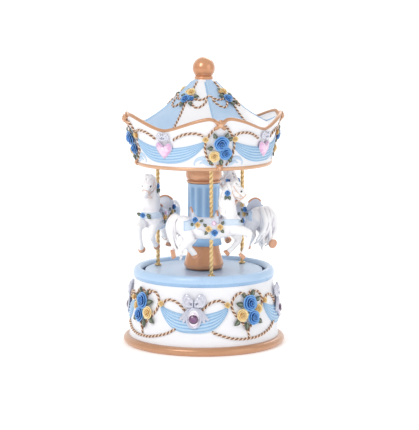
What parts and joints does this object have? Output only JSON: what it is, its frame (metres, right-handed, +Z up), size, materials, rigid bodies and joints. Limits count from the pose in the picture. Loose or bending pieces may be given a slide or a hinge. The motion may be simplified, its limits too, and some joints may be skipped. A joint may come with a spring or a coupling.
{
  "type": "wind up music box",
  "caption": "Wind-up carousel music box: a turning platform with horses on brass poles under a flared tent canopy, on a round base that holds the movement.",
  "frame": {"origin": "middle of the foot ring's underside, on the axis that the carousel turns about", "axes": "+Z up along the turning axis, -Y towards the front, +X to the right seen from the front"},
  "size_m": [0.102, 0.102, 0.1802],
  "materials": {
    "white_resin": "cast resin, painted satin white with a soft sheen",
    "gold_paint": "copper-gold metallic paint on resin, rubbed lighter on the high edges",
    "blue_paint": "light blue satin paint on resin",
    "turntable_blue": "greyish light blue satin paint",
    "rose_blue": "hand-painted blue roses, darker in the folds",
    "silver_paint": "pearly silver paint",
    "violet_gem": "faceted dark violet acrylic stone",
    "pink_gem": "faceted pink acrylic heart",
    "brass": "bright drawn brass",
    "steel": "ground steel",
    "zinc": "die-cast zinc alloy, as cast",
    "dark_plastic": "fine-grained black plastic"
  },
  "bodies": {
    "base": {"base_housing": "white_resin", "bottom_cover": "dark_plastic", "cover_screw_1": "steel", "cover_screw_2": "steel", "cover_screw_3": "steel", "movement_bedplate": "zinc", "movement_screw_1": "steel", "movement_screw_2": "steel", "movement_screw_3": "steel", "comb": "steel", "comb_screw_1": "steel", "comb_screw_2": "steel", "governor_bracket": "steel", "bracket_screw": "steel", "ratchet_click": "steel", "turntable_bush": "brass", "base_bow_1": "silver_paint", "base_bow_2": "silver_paint", "base_bow_3": "silver_paint", "base_bow_4": "silver_paint", "base_gem_1": "violet_gem", "base_gem_2": "violet_gem", "base_gem_3": "violet_gem", "base_gem_4": "violet_gem", "base_bouquet_1": "rose_blue", "base_bouquet_2": "rose_blue", "base_bouquet_3": "rose_blue", "base_bouquet_4": "rose_blue"},
    "carousel": {"turntable": "turntable_blue", "spring_barrel": "brass", "barrel_lid": "brass", "mainspring": "steel", "drive_shaft": "steel", "tie_rod": "steel", "column_base": "gold_paint", "column_shaft": "blue_paint", "column_capital": "gold_paint", "pole_1": "brass", "pole_2": "brass", "pole_3": "brass", "horse_1": "white_resin", "horse_2": "white_resin", "horse_3": "white_resin", "canopy": "white_resin", "canopy_ceiling": "white_resin", "finial": "gold_paint", "heart_gem_1": "pink_gem", "heart_gem_2": "pink_gem", "heart_gem_3": "pink_gem", "heart_gem_4": "pink_gem", "canopy_bouquet_1": "rose_blue", "canopy_bouquet_2": "rose_blue", "canopy_bouquet_3": "rose_blue", "canopy_bouquet_4": "rose_blue"},
    "winding": {"winding_key": "brass", "winding_arbor": "steel", "ratchet_wheel": "steel"},
    "cylinder": {"pinned_cylinder": "brass"},
    "governor": {"governor_wheel": "brass"},
    "fly": {"fly": "steel"}
  },
  "joints": [
    {"name": "turntable_spin", "type": "hinge", "parent": "base", "child": "carousel", "pos_m": [0, 0, 0.0465], "axis": [0, 0, 1], "continuous": true},
    {"name": "key_turn", "type": "hinge", "parent": "base", "child": "winding", "pos_m": [0, 0, 0.0125], "axis": [0, 0, 1], "continuous": true},
    {"name": "cylinder_spin", "type": "hinge", "parent": "base", "child": "cylinder", "pos_m": [0.0226, 0, 0.0245], "axis": [1, 0, 0], "continuous": true},
    {"name": "governor_spin", "type": "hinge", "parent": "base", "child": "governor", "pos_m": [0.031, 0.00975, 0.0245], "axis": [1, 0, 0], "continuous": true},
    {"name": "fly_spin", "type": "hinge", "parent": "base", "child": "fly", "pos_m": [0.0302, 0.01405, 0.03], "axis": [0, 0, 1], "continuous": true}
  ],
  "couplings": [
    {"joint": "cylinder_spin", "follows": "turntable_spin", "ratio": 3},
    {"joint": "governor_spin", "follows": "turntable_spin", "ratio": -15},
    {"joint": "fly_spin", "follows": "turntable_spin", "ratio": 240}
  ]
}
